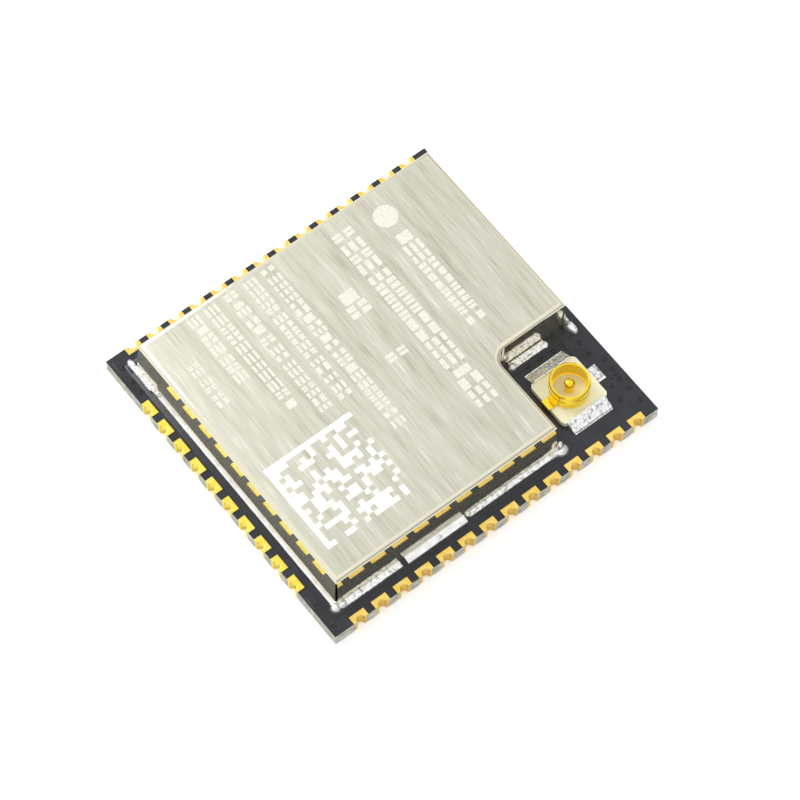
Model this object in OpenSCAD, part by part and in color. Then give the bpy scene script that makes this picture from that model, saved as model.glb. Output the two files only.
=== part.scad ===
// Surface-mount wireless module: a small castellated board, a folded shield can over its chips,
// and a push-on coaxial receptacle for an antenna lead in a notch at one corner of the can.
// Sizes are in millimetres. The origin is the middle of the board's underside, on the surface
// that it is soldered to. +Y points to the end with the antenna port, and +Z is up.

/* [Board] */
// Width of the board, across its two long pad rows
board_w = 18; // [17.8:0.1:20]
// Length of the board, from the end pad row to the antenna port's end
board_l = 19.2; // [19.1:0.1:21]
// Thickness of the board over both copper faces
board_t = 0.8; // [0.6:0.1:1.6]
// Thickness of the copper foil with its gold finish
copper_t = 0.035; // [0.03:0.005:0.07]
// Thickness of the solder mask film
mask_t = 0.025; // [0.015:0.005:0.03]

/* [Edge pads] */
// Pitch of the edge pads
pad_pitch = 1.27; // [1.15:0.01:1.3]
// Pads in the end row
end_pads = 10; // [6:1:10]
// From the board's end edge to the middle of the first side pad
side_row_start = 1.5; // [1.3:0.1:1.6]
// Least distance from the middle of the last side pad to the edge at the antenna port
side_row_stop = 1.1; // [0.8:0.1:1.1]
// Width of a pad along the edge
pad_w = 0.9; // [0.85:0.05:1]
// Depth of a pad's land on the top face
pad_depth = 0.45; // [0.45:0.05:0.6]
// Depth of a pad's land on the underside
pad_depth_under = 0.85; // [0.6:0.05:1.2]
// Finished radius of the half hole in a pad
half_hole_r = 0.3; // [0.2:0.05:0.35]
// Thickness of the plating in a half hole
plating_t = 0.04; // [0.03:0.01:0.06]

/* [Ground pad] */
// Side of one square of the ground pad
ground_cell = 0.9; // [0.7:0.05:1.1]
// Pitch of the squares, three by three
ground_pitch = 1.4; // [1.2:0.05:1.6]
// Radius of a filled via between a square and the chip above it
via_r = 0.15; // [0.1:0.05:0.25]

/* [Shield can] */
// Height of the can over the board
can_h = 2.4; // [2.1:0.1:3.2]
// Thickness of the sheet
sheet_t = 0.2; // [0.15:0.05:0.25]
// Outer radius of the can's bends and corners
bend_r = 0.3; // [0.3:0.05:0.5]
// From each side edge of the board to the can
can_side_gap = 1.2; // [1.1:0.05:1.3]
// From the board's end edge to the can
can_end_gap = 0.98; // [0.95:0.01:1.1]
// From the board's edge at the antenna port to the can
can_port_gap = 0.72; // [0.6:0.02:0.8]
// Width of the notch, from the board's side edge
notch_w = 6.1; // [5.9:0.1:6.4]
// Length of the notch, from the board's edge at the antenna port
notch_l = 5.2; // [5:0.1:5.5]
// Outer radius of the notch's inner corner
notch_r = 0.75; // [0.6:0.05:1]
// Width of the seam where two walls meet
seam_w = 0.08; // [0.05:0.01:0.12]

/* [Shield solder] */
// Reach of the shield land outside the can
land_out = 0.42; // [0.3:0.02:0.5]
// Reach of the shield land inwards from the can's outer face
land_in = 0.3; // [0.26:0.02:0.3]
// Width of the gaps that split the land into strips
land_gap = 0.3; // [0.2:0.05:0.5]
// From the can's end wall to the first gap in each side strip
land_gap_1 = 3.9; // [3:0.1:5]
// From the can's end wall to the second gap in each side strip
land_gap_2 = 7.6; // [6.5:0.1:9]
// Thickness of the solder that wets the land
solder_t = 0.05; // [0.03:0.01:0.08]
// Radius of the solder fillet against the wall
fillet_r = 0.25; // [0.15:0.05:0.25]

/* [Antenna port] */
// From the board's side edge to the port's axis
port_side = 3.23; // [3.1:0.01:3.3]
// From the board's end edge to the port's axis
port_end = 2.83; // [2.75:0.01:2.9]
// Side of the square moulded base
port_base = 2.7; // [2.5:0.05:2.8]
// Thickness of the moulded base
port_base_t = 0.3; // [0.28:0.02:0.4]
// Radius of the base's corners
port_base_r = 0.28; // [0.1:0.02:0.4]
// Outer radius of the ring contact
ring_r = 1; // [0.95:0.01:1.1]
// Wall of the ring contact
ring_wall = 0.13; // [0.11:0.01:0.16]
// Height of the ring over the board
ring_h = 1.25; // [1.1:0.05:1.4]
// Depth of the snap groove round the ring
groove = 0.05; // [0.03:0.01:0.07]
// Radius of the centre contact
pin_r = 0.23; // [0.18:0.01:0.27]
// Height of the centre contact over the board
pin_h = 1.13; // [0.9:0.01:1.2]
// Thickness of the contacts' strip metal
strip_t = 0.12; // [0.08:0.01:0.15]
// Reach of the ground feet beyond the base
foot_out = 0.2; // [0.1:0.05:0.3]
// Length of the ground feet along the base
foot_l = 2.25; // [1.8:0.05:2.4]
// Reach of the signal tail beyond the base
tail_out = 0.3; // [0.2:0.05:0.35]
// Width of the signal tail
tail_w = 0.4; // [0.3:0.05:0.5]

/* [Antenna trace] */
// Clear space between the port's base and the trace
trace_clear = 0.08; // [0.07:0.01:0.1]
// Width of the trace
trace_w = 0.34; // [0.24:0.02:0.4]
// Width of the opening that lets the trace out of the can
mouth_w = 1.1; // [0.9:0.05:1.2]
// Height of that opening over the board
mouth_h = 0.3; // [0.2:0.05:0.5]

/* [Chips] */
// Middle of the radio chip across the board, from the board's middle
chip_x = -1; // [-1.4:0.1:-0.6]
// Middle of the radio chip along the board, from the board's middle
chip_y = 0.65; // [0:0.05:0.8]
// Side of the radio chip
chip_s = 5; // [4.6:0.1:5.2]
// Height of the radio chip over the board
chip_h = 0.85; // [0.6:0.05:1]
// Lead pitch of the radio chip, twelve to a side
chip_pitch = 0.35; // [0.3:0.01:0.36]
// Width of the memory chip
flash_w = 3; // [2.6:0.1:3.2]
// Length of the memory chip
flash_l = 4; // [3.6:0.1:4.4]
// Height of the memory chip over the board
flash_h = 0.6; // [0.5:0.05:0.9]
// Length of the crystal
crystal_l = 2.5; // [2:0.1:3]
// Width of the crystal
crystal_w = 2; // [1.6:0.1:2.2]
// Height of the crystal over the board
crystal_h = 0.55; // [0.45:0.05:0.8]

/* [Small parts] */
// Length of the small capacitors, resistors and inductors
part_l = 1; // [0.9:0.05:1.05]
// Width of the small parts
part_w = 0.5; // [0.4:0.05:0.6]
// Height of the small capacitors and inductors
part_h = 0.5; // [0.3:0.05:0.6]
// Height of the resistors
resistor_h = 0.35; // [0.25:0.05:0.45]
// Length of the bulk capacitors
bulk_l = 1.6; // [1.4:0.1:1.8]
// Width and height of the bulk capacitors
bulk_w = 0.8; // [0.6:0.05:1]
// Clear space between parts
part_gap = 0.5; // [0.4:0.05:0.55]

/* [Hidden] */
$fn = 48;

// Edges of the board
edge_x = board_w / 2;
edge_y = board_l / 2;
// Pads in each side row
side_pads = 1 + floor((board_l - side_row_start - side_row_stop) / pad_pitch);
// Faces of the laminate
core_low = copper_t;
core_high = board_t - copper_t;
core_t = core_high - core_low;

// Outer faces of the can and of its notch
can_left = can_side_gap - edge_x;
can_right = edge_x - can_side_gap;
can_front = can_end_gap - edge_y;
can_back = edge_y - can_port_gap;
notch_x = edge_x - notch_w;
notch_y = edge_y - notch_l;
can_top = board_t + can_h;
// Corners of the can seen from above, anticlockwise, and which of them turn inwards
can_corners = [
    [can_left, can_front], [can_right, can_front], [can_right, notch_y],
    [notch_x, notch_y], [notch_x, can_back], [can_left, can_back]
];
inner_corner = 3;
// Slack that takes a cut clear of the face that it goes through
cut = 0.5;

// Middle of the antenna port, of its signal land and of the antenna trace
port_x = edge_x - port_side;
port_y = edge_y - port_end;
trace_y = port_y + port_base / 2 + trace_clear + trace_w / 2;
// Clearance round the signal tail where it passes under the ring
tail_gap = 0.15;
// Land sizes of the port
ground_land_in = 0.3;
ground_land_out = 0.6;
signal_land_w = 0.89;
signal_land_in = 0.12;
signal_land_out = 0.57;
// Locking tab on the base
tab_w = 0.57;
tab_t = 0.1;
// Flare of the ring's root, radius of the floor inside the ring, and place of the snap groove
ring_flare = 0.1;
floor_r = ring_r - ring_wall - 0.04;
groove_share = 0.55;
// Root of the centre contact
root_r = pin_r + 0.17;

// Leads and lands of the chips
chip_side_leads = 12;
radio_lead = [0.4, 0.18];
radio_pad = 3.7;
flash_lead = [0.5, 0.35];
flash_pitch = 0.8;
lead_t = 0.2;
// Reach of a land beyond its lead, and height of a body over its lands
land_toe = 0.15;
stand_off = 0.02;
// Ring of small parts round the radio chip ends this far from its middle
ring_reach = chip_s / 2 + part_gap + part_l;
flash_x = chip_x + ring_reach + part_gap + flash_w / 2;
flash_y = chip_y - flash_l / 2;
// Row of parts along the can's walls
wall_gap = 0.9;
crystal_x = can_left + sheet_t + wall_gap + crystal_l / 2;
crystal_y = can_back - sheet_t - wall_gap - crystal_w / 2;
lid_inset = 0.1;
end_share = 0.25;
// The trace starts at this lead of the radio chip, counted from the middle of its side
trace_lead = 2.5;
match_x = chip_x + trace_lead * chip_pitch;
// Middle of the inductor in line with the trace, and of the one beside it
series_y = chip_y + ring_reach + part_gap + part_l / 2;
shunt_x = match_x - trace_w / 2 - land_toe - part_l / 2;
shunt_y = series_y + part_l / 2 + land_toe + part_w;

// --- helpers ---------------------------------------------------------------------------

function along(a, b) = (b - a) / norm(b - a);

// Places its children at each pad of a side row, the board's edge on their own Y axis
module side_row(side) {
    for (i = [0 : side_pads - 1])
        translate([side * edge_x, side_row_start - edge_y + i * pad_pitch, 0])
            rotate(side > 0 ? 0 : 180)
                children();
}

// Places its children at each pad of the end row
module end_row() {
    for (i = [0 : end_pads - 1])
        translate([(i - (end_pads - 1) / 2) * pad_pitch, -edge_y, 0])
            rotate(-90)
                children();
}

module all_pads() {
    side_row(1) children();
    side_row(-1) children();
    end_row() children();
}

// A block between two heights, with the board's edge at x = 0
module land(depth, low, high) {
    translate([-depth, -pad_w / 2, low])
        cube([depth, pad_w, high - low]);
}

// One castellated pad: a land on each face joined by the plated half hole
module castellation() {
    plated_r = half_hole_r + plating_t;
    difference() {
        union() {
            land(pad_depth, core_high, board_t);
            land(pad_depth_under, 0, core_low);
            intersection() {
                cylinder(r = plated_r, h = board_t);
                land(pad_depth, 0, board_t);
            }
        }
        translate([0, 0, -cut])
            cylinder(r = half_hole_r, h = board_t + 2 * cut);
    }
}

// A slab of the board's full outline between two heights
module board_slab(low, high) {
    translate([-edge_x, -edge_y, low])
        cube([board_w, board_l, high - low]);
}

// Places its children at the nine squares of the ground pad
module ground_grid() {
    for (i = [-1 : 1], j = [-1 : 1])
        translate([chip_x + i * ground_pitch, chip_y + j * ground_pitch, 0])
            children();
}

module ground_squares() {
    ground_grid()
        translate([-ground_cell / 2, -ground_cell / 2, 0])
            cube([ground_cell, ground_cell, core_low]);
}

// Sweeps a 2-D profile round the can. Its x is the distance outwards from the can's outer
// face, and its y is the height over the origin.
module around_can() {
    n = len(can_corners);
    for (i = [0 : n - 1]) {
        a = can_corners[i];
        b = can_corners[(i + 1) % n];
        way = along(a, b);
        turn = atan2(way.y, way.x);
        start = i == inner_corner ? notch_r : bend_r;
        stop = (i + 1) % n == inner_corner ? notch_r : bend_r;
        translate(a + way * start)
            rotate(turn)
                rotate([90, 0, 90])
                    linear_extrude(norm(b - a) - start - stop)
                        mirror([1, 0])
                            children();
        before = along(can_corners[(i + n - 1) % n], a);
        came = atan2(before.y, before.x);
        if (i == inner_corner)
            translate(a + (way - before) * notch_r)
                rotate(came)
                    rotate_extrude(angle = 90)
                        translate([notch_r, 0])
                            mirror([1, 0])
                                children();
        else
            translate(a + (way - before) * bend_r)
                rotate(came - 90)
                    rotate_extrude(angle = 90)
                        translate([bend_r, 0])
                            children();
    }
}

// The flat of the can's top, inside its bends
module can_flat() {
    low = [can_left + bend_r, can_front + bend_r];
    translate(low)
        square([can_right - bend_r, notch_y - bend_r] - low);
    translate(low)
        square([notch_x - bend_r, can_back - bend_r] - low);
    difference() {
        translate([notch_x - bend_r, notch_y - bend_r])
            square(notch_r + bend_r);
        translate([notch_x + notch_r, notch_y + notch_r])
            circle(r = notch_r + bend_r);
    }
}

// Gaps between the strips of the shield land: two in each side, and one for the trace
module land_gaps(low, high) {
    reach = land_out + land_in + 2 * cut;
    for (x = [can_left, can_right], y = [land_gap_1, land_gap_2])
        translate([x - reach / 2, can_front + y - land_gap / 2, low])
            cube([reach, land_gap, high - low]);
    translate([notch_x - reach / 2, trace_y - mouth_w / 2, low])
        cube([reach, mouth_w, high - low]);
}

module shield_strips() {
    difference() {
        around_can()
            translate([-land_in, core_high])
                square([land_in + land_out, copper_t]);
        land_gaps(core_high - cut, board_t + cut);
    }
}

// A box by its middle and size in plan, standing at a height
module block(size, low, middle = [0, 0]) {
    translate([middle.x - size.x / 2, middle.y - size.y / 2, low])
        cube(size);
}

module port_land_blocks(low, high) {
    reach = ground_land_in + ground_land_out;
    for (side = [-1, 1])
        block([reach, foot_l, high - low], low,
              [port_x + side * (port_base / 2 - ground_land_in + reach / 2), port_y]);
    depth = signal_land_in + signal_land_out;
    block([signal_land_w, depth, high - low], low,
          [port_x, port_y + port_base / 2 - signal_land_in + depth / 2]);
}

// The antenna trace, from the radio chip through the inductor in line to the signal land
module trace_strips(low, high, extra = 0) {
    wide = trace_w + 2 * extra;
    start = chip_y + chip_s / 2 + land_toe;
    before = series_y - part_l / 2 - land_toe;
    after = series_y + part_l / 2 + land_toe;
    stop = port_x - signal_land_w / 2;
    translate([match_x - wide / 2, start, low])
        cube([wide, before - start, high - low]);
    translate([match_x - wide / 2, after, low])
        cube([wide, trace_y + wide / 2 - after, high - low]);
    translate([match_x - wide / 2, trace_y - wide / 2, low])
        cube([stop - match_x + wide / 2, wide, high - low]);
}

// --- the board -------------------------------------------------------------------------

module laminate() {
    color("darkkhaki")
        difference() {
            board_slab(core_low, core_high);
            all_pads()
                translate([0, 0, -cut])
                    cylinder(r = half_hole_r + plating_t, h = board_t + 2 * cut);
            ground_grid()
                translate([0, 0, -cut])
                    cylinder(r = via_r, h = board_t + 2 * cut);
        }
}

module solder_mask_top() {
    color([0.1, 0.11, 0.14])
        difference() {
            union() {
                board_slab(core_high, core_high + mask_t);
                trace_strips(core_high, board_t + mask_t, mask_t * 2);
            }
            trace_strips(core_high - cut, board_t);
            all_pads() land(pad_depth, core_high - cut, board_t + cut);
            shield_strips();
            port_land_blocks(core_high - cut, board_t + cut);
            component_land_blocks(core_high - cut, board_t + cut);
        }
}

module solder_mask_bottom() {
    color([0.1, 0.11, 0.14])
        difference() {
            board_slab(core_low - mask_t, core_low);
            all_pads() land(pad_depth_under, -cut, core_low + cut);
            ground_grid()
                block([ground_cell, ground_cell, core_low + 2 * cut], -cut);
        }
}

module edge_pads_left() {
    color("gold") side_row(-1) castellation();
}

module edge_pads_right() {
    color("gold") side_row(1) castellation();
}

module edge_pads_bottom() {
    color("gold") end_row() castellation();
}

module ground_pad() {
    color("gold") ground_squares();
}

module thermal_vias() {
    color("peru")
        ground_grid()
            translate([0, 0, core_low])
                cylinder(r = via_r, h = core_t);
}

module shield_land() {
    color("silver") shield_strips();
}

module port_lands() {
    color("silver") port_land_blocks(core_high, board_t);
}

module rf_trace() {
    color("peru") trace_strips(core_high, board_t);
}

module component_lands() {
    color("gold") component_land_blocks(core_high, board_t);
}

// --- the shield can --------------------------------------------------------------------

// Section of the wall and of its bend into the top
module sheet_profile() {
    translate([-sheet_t, board_t])
        square([sheet_t, can_h - bend_r]);
    translate([-bend_r, can_top - bend_r])
        intersection() {
            difference() {
                circle(r = bend_r);
                circle(r = bend_r - sheet_t);
            }
            square(bend_r);
        }
}

// Slits where two folded walls meet at an outer corner
module can_seams() {
    n = len(can_corners);
    for (i = [0 : n - 1])
        if (i != inner_corner) {
            before = along(can_corners[(i + n - 1) % n], can_corners[i]);
            after = along(can_corners[i], can_corners[(i + 1) % n]);
            translate(can_corners[i] + (after - before) * bend_r)
                rotate(atan2(before.y, before.x) - 45)
                    translate([(bend_r - sheet_t) / 2, -seam_w / 2, board_t - cut])
                        cube([bend_r, seam_w, cut + can_h - bend_r]);
        }
}

module shield_can() {
    color([0.83, 0.82, 0.76])
        difference() {
            union() {
                around_can() sheet_profile();
                translate([0, 0, can_top - sheet_t])
                    linear_extrude(sheet_t) can_flat();
            }
            can_seams();
            block([4 * sheet_t, mouth_w, mouth_h + cut], board_t - cut,
                  [notch_x - sheet_t / 2, trace_y]);
        }
}

module shield_solder() {
    color([0.9, 0.9, 0.9])
        difference() {
            around_can()
                translate([0, board_t]) {
                    square([land_out, solder_t]);
                    translate([0, solder_t])
                        difference() {
                            square(fillet_r);
                            translate([fillet_r, fillet_r])
                                circle(r = fillet_r);
                        }
                }
            land_gaps(board_t - cut, board_t + solder_t + fillet_r + cut);
        }
}

// --- the antenna port ------------------------------------------------------------------

// The ring contact, drawn and folded from one strip: it flares into its feet under the base,
// and a V groove round it holds the plug
module port_ring_shape() {
    base_top = port_base_t;
    groove_z = base_top + (ring_h - base_top) * groove_share;
    translate([port_x, port_y, board_t])
        difference() {
            union() {
                rotate_extrude()
                    polygon([
                        [0, 0], [ring_r + ring_flare, 0], [ring_r, base_top],
                        [ring_r, groove_z - groove],
                        [ring_r - groove, groove_z], [ring_r, groove_z + groove],
                        [ring_r, ring_h - groove], [ring_r - groove, ring_h], [0, ring_h]
                    ]);
                block([port_base + 2 * foot_out, foot_l, strip_t], 0);
                block([tab_w, port_base / 2 + tab_t, tab_t], base_top,
                      [0, -(port_base / 2 + tab_t) / 2]);
                block([tab_w, tab_t, base_top - strip_t], strip_t,
                      [0, -(port_base + tab_t) / 2]);
            }
            translate([0, 0, base_top + stand_off])
                cylinder(r = ring_r - ring_wall, h = ring_h);
            translate([0, 0, -cut])
                cylinder(r = floor_r, h = ring_h + 2 * cut);
            translate([-tail_w / 2 - tail_gap, 0, -cut])
                cube([tail_w + 2 * tail_gap, port_base, cut + strip_t + tail_gap]);
        }
}

// The centre contact stands on a root held by the base, and its tail carries the signal out
module port_contact_shape() {
    tip = pin_r / 2;
    translate([port_x, port_y, board_t]) {
        rotate_extrude() {
            square([pin_r, pin_h - tip]);
            square([pin_r - tip, pin_h]);
            translate([pin_r - tip, pin_h - tip])
                circle(r = tip);
            square([root_r, port_base_t]);
        }
        translate([-tail_w / 2, 0, 0])
            cube([tail_w, port_base / 2 + tail_out, strip_t]);
    }
}

module port_base() {
    flat = port_base / 2 - port_base_r;
    color([0.98, 0.97, 0.78])
        difference() {
            translate([port_x, port_y, board_t]) {
                block([port_base, 2 * flat, port_base_t], 0);
                block([2 * flat, port_base, port_base_t], 0);
                for (x = [-flat, flat], y = [-flat, flat])
                    translate([x, y, 0])
                        cylinder(r = port_base_r, h = port_base_t);
                cylinder(r = floor_r, h = port_base_t + stand_off);
            }
            port_ring_shape();
            port_contact_shape();
        }
}

module port_ring() {
    color("gold") port_ring_shape();
}

module port_contact() {
    color("gold") port_contact_shape();
}

// Solder wedges that run from the feet and the tail down to their lands
module port_solder() {
    side_w = ground_land_out - foot_out;
    color([0.9, 0.9, 0.9]) {
        for (side = [0, 180])
            translate([port_x, port_y, board_t])
                rotate(side)
                    translate([port_base / 2 + foot_out, foot_l / 2, 0])
                        solder_wedge(side_w, foot_l);
        translate([port_x, port_y + port_base / 2 + tail_out, board_t])
            rotate(90)
                translate([0, signal_land_w / 2, 0])
                    solder_wedge(signal_land_out - tail_out, signal_land_w);
    }
}

module solder_wedge(reach, width) {
    rotate([90, 0, 0])
        linear_extrude(width)
            polygon([[0, 0], [reach, 0], [reach, solder_t / 2], [0, strip_t]]);
}

// --- the chips under the can -----------------------------------------------------------

// Places its children at each lead of a leaded chip, pointing out from its edge
module chip_leads_at(size, pitch, count, both = true) {
    for (turn = both ? [0 : 90 : 270] : [0, 180])
        rotate(turn)
            for (i = [0 : count - 1])
                translate([(turn % 180 == 0 ? size.x : size.y) / 2, (i - (count - 1) / 2) * pitch, 0])
                    children();
}

module radio_chip_leads_shape() {
    translate([chip_x, chip_y, 0]) {
        chip_leads_at([chip_s, chip_s], chip_pitch, chip_side_leads)
            block([radio_lead.x, radio_lead.y, lead_t], board_t, [-radio_lead.x / 2, 0]);
        block([radio_pad, radio_pad, lead_t], board_t);
    }
}

module flash_chip_leads_shape() {
    translate([flash_x, flash_y, 0])
        chip_leads_at([flash_w, flash_l], flash_pitch, 4, false)
            block([flash_lead.x, flash_lead.y, lead_t], board_t, [-flash_lead.x / 2, 0]);
}

module radio_chip() {
    color([0.16, 0.16, 0.17])
        difference() {
            block([chip_s, chip_s, chip_h - stand_off], board_t + stand_off, [chip_x, chip_y]);
            radio_chip_leads_shape();
        }
}

module radio_chip_leads() {
    color("silver") radio_chip_leads_shape();
}

module flash_chip() {
    color([0.16, 0.16, 0.17])
        difference() {
            block([flash_w, flash_l, flash_h - stand_off], board_t + stand_off, [flash_x, flash_y]);
            flash_chip_leads_shape();
        }
}

module flash_chip_leads() {
    color("silver") flash_chip_leads_shape();
}

module crystal_base() {
    color("tan")
        block([crystal_l, crystal_w, crystal_h * 2 / 3], board_t, [crystal_x, crystal_y]);
}

module crystal_lid() {
    color("gainsboro")
        block([crystal_l - 2 * lid_inset, crystal_w - 2 * lid_inset, crystal_h / 3],
              board_t + crystal_h * 2 / 3, [crystal_x, crystal_y]);
}

// Places its children at each small capacitor: three along each side of the radio chip
module at_capacitors() {
    for (turn = [0 : 90 : 270], i = [-1 : 1])
        translate([chip_x, chip_y, 0])
            rotate(turn)
                translate([ring_reach - part_l / 2, i * (part_w + 2 * part_gap), 0])
                    children();
}

// Four resistors in a row by the end wall
module at_resistors() {
    for (i = [0 : 3])
        translate([can_left + sheet_t + wall_gap + part_w / 2 + i * (part_w + part_gap),
                   can_front + sheet_t + wall_gap + part_l / 2, 0])
            rotate(90)
                children();
}

// Two matching inductors: one in line with the antenna trace and one beside it
module at_inductors() {
    translate([match_x, series_y, 0])
        rotate(90)
            children();
    translate([shunt_x, shunt_y, 0])
        children();
}

// Three bulk capacitors at the can's front corner
module at_bulk_capacitors() {
    for (i = [0 : 2])
        translate([can_right - sheet_t - wall_gap - bulk_w / 2 - i * (bulk_w + part_gap),
                   can_front + sheet_t + wall_gap + bulk_l / 2, 0])
            rotate(90)
                children();
}

// A chip part's body stands between its two metal ends, a little inside them
module part_body(l, w, h) {
    block([l * (1 - 2 * end_share), w - 2 * stand_off, h - 2 * stand_off], board_t + stand_off);
}

module part_ends(l, w, h) {
    for (side = [-1, 1])
        block([l * end_share, w, h], board_t, [side * l * (1 - end_share) / 2, 0]);
}

module part_lands(l, w, low, high) {
    reach = l * end_share + land_toe;
    for (side = [-1, 1])
        block([reach, w, high - low], low, [side * (l / 2 + land_toe - reach / 2), 0]);
}

module component_land_blocks(low, high) {
    translate([chip_x, chip_y, 0]) {
        chip_leads_at([chip_s, chip_s], chip_pitch, chip_side_leads)
            block([radio_lead.x + land_toe, radio_lead.y, high - low], low,
                  [(land_toe - radio_lead.x) / 2, 0]);
        block([radio_pad, radio_pad, high - low], low);
    }
    translate([flash_x, flash_y, 0])
        chip_leads_at([flash_w, flash_l], flash_pitch, 4, false)
            block([flash_lead.x + land_toe, flash_lead.y, high - low], low,
                  [(land_toe - flash_lead.x) / 2, 0]);
    for (x = [-1, 1], y = [-1, 1])
        block([crystal_l / 3, crystal_w / 3, high - low], low,
              [crystal_x + x * crystal_l / 3, crystal_y + y * crystal_w / 3]);
    at_capacitors() part_lands(part_l, part_w, low, high);
    at_resistors() part_lands(part_l, part_w, low, high);
    at_inductors() part_lands(part_l, part_w, low, high);
    at_bulk_capacitors() part_lands(bulk_l, bulk_w, low, high);
}

module capacitor_bodies() {
    color("tan") at_capacitors() part_body(part_l, part_w, part_h);
}

module capacitor_ends() {
    color("silver") at_capacitors() part_ends(part_l, part_w, part_h);
}

module resistor_bodies() {
    color([0.15, 0.15, 0.16]) at_resistors() part_body(part_l, part_w, resistor_h);
}

module resistor_ends() {
    color("silver") at_resistors() part_ends(part_l, part_w, resistor_h);
}

module inductor_bodies() {
    color("lightsteelblue") at_inductors() part_body(part_l, part_w, part_h);
}

module inductor_ends() {
    color("silver") at_inductors() part_ends(part_l, part_w, part_h);
}

module bulk_capacitor_bodies() {
    color("tan") at_bulk_capacitors() part_body(bulk_l, bulk_w, bulk_w);
}

module bulk_capacitor_ends() {
    color("silver") at_bulk_capacitors() part_ends(bulk_l, bulk_w, bulk_w);
}

// --- what is drawn ---------------------------------------------------------------------

laminate();
solder_mask_top();
solder_mask_bottom();
edge_pads_left();
edge_pads_right();
edge_pads_bottom();
ground_pad();
thermal_vias();
shield_land();
port_lands();
rf_trace();
component_lands();
shield_can();
shield_solder();
port_base();
port_ring();
port_contact();
port_solder();
radio_chip();
radio_chip_leads();
flash_chip();
flash_chip_leads();
crystal_base();
crystal_lid();
capacitor_bodies();
capacitor_ends();
resistor_bodies();
resistor_ends();
inductor_bodies();
inductor_ends();
bulk_capacitor_bodies();
bulk_capacitor_ends();
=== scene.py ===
import math
import random

import bpy
from mathutils import Matrix, Vector


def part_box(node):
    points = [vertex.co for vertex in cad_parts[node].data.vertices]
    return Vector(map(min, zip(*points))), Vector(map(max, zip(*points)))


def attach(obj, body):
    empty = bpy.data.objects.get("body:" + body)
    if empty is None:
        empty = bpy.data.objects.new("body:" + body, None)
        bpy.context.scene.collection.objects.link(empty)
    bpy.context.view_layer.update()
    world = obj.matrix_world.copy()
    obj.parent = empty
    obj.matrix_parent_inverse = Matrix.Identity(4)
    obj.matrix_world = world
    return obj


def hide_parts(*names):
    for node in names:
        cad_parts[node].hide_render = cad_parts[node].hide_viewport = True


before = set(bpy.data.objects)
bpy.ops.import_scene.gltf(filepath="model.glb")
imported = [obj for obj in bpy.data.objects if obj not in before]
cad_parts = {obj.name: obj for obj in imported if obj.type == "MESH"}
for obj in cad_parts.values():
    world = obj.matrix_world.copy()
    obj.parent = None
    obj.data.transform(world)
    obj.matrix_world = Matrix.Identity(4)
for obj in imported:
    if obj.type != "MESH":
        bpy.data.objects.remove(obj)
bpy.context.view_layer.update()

MM = 0.001
SEED = 11
rng = random.Random(SEED)


def box_mm(node):
    """Lowest and highest corner of a CAD node, in millimetres."""
    low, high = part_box(node)
    return low / MM, high / MM


# --- places worked out from the frame ------------------------------------------------------

NEAR = 0.01                          # closer than this, a point lies on a plane
ROOT = 0.02                          # how far an added film reaches down into what carries it
MARK_DEPTH = 0.006                   # how far the etched marks stand proud of the can

board_low, board_high = box_mm("laminate")
board_top = box_mm("shield_land")[1].z
can_low, can_high = box_mm("shield_can")
can_high.z -= MARK_DEPTH             # so the marks end at the frame's box
base_low, base_high = box_mm("port_base")
contact_low, contact_high = box_mm("port_contact")
land_low, land_high = box_mm("port_lands")
port_x = (base_low.x + base_high.x) / 2
port_y = (base_low.y + base_high.y) / 2
NOTCH_X, NOTCH_Y = 2.9, 4.4          # the can's inner corner, from its drawing
SEAT = board_top - 0.03              # solder starts a little inside its land


# --- materials ---------------------------------------------------------------------------

MIX_A, MIX_B, MIX_OUT = 6, 7, 2      # the colour sockets of a Mix node
EVEN = (1, 1, 1)                     # a pattern that no axis stretches


def linear(hex_colour):
    """Turns an sRGB hex colour to the linear RGBA that sockets hold."""
    channels = [int(hex_colour[i:i + 2], 16) / 255 for i in (1, 3, 5)]
    return [c / 12.92 if c <= 0.04045 else ((c + 0.055) / 1.055) ** 2.4 for c in channels] + [1]


def add(tree, kind, inputs=None, stops=(), **settings):
    """Adds a node. Settings are its own options, inputs are values or other nodes' outputs,
    and stops are a colour ramp's (place, hex colour) pairs."""
    node = tree.nodes.new(kind)
    for name, value in settings.items():
        setattr(node, name, value)
    for name, value in (inputs or {}).items():
        if isinstance(value, bpy.types.NodeSocket):
            tree.links.new(value, node.inputs[name])
        else:
            node.inputs[name].default_value = value
    for i, (where, colour) in enumerate(stops):
        bar = node.color_ramp.elements
        element = bar[i] if i < len(bar) else bar.new(where)
        element.position = where
        element.color = linear(colour)
    return node


def start_material(name, colour, roughness, metallic=0.0, **sockets):
    """A material with one main shader. Returns it, its node tree and the shader."""
    material = bpy.data.materials.new(name)
    material.use_nodes = True
    tree = material.node_tree
    shader = tree.nodes["Principled BSDF"]
    shader.inputs["Base Color"].default_value = linear(colour)
    shader.inputs["Roughness"].default_value = roughness
    shader.inputs["Metallic"].default_value = metallic
    for socket, value in sockets.items():
        shader.inputs[socket.replace("_", " ")].default_value = value
    return material, tree, shader


def feed(tree, shader, **outputs):
    """Links other nodes' outputs to the shader's sockets."""
    for socket, output in outputs.items():
        tree.links.new(output, shader.inputs[socket.replace("_", " ")])


def grain(tree, size, stretch=EVEN, detail=2.0):
    """Noise whose features are size millimetres across. A stretch below 1 draws them out
    along that axis."""
    spot = add(tree, "ShaderNodeTexCoord").outputs["Object"]
    spot = add(tree, "ShaderNodeMapping", {
        "Vector": spot, "Scale": [s / MM for s in stretch]}).outputs["Vector"]
    return add(tree, "ShaderNodeTexNoise", {
        "Vector": spot, "Scale": 1 / size, "Detail": detail}).outputs["Fac"]


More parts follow.
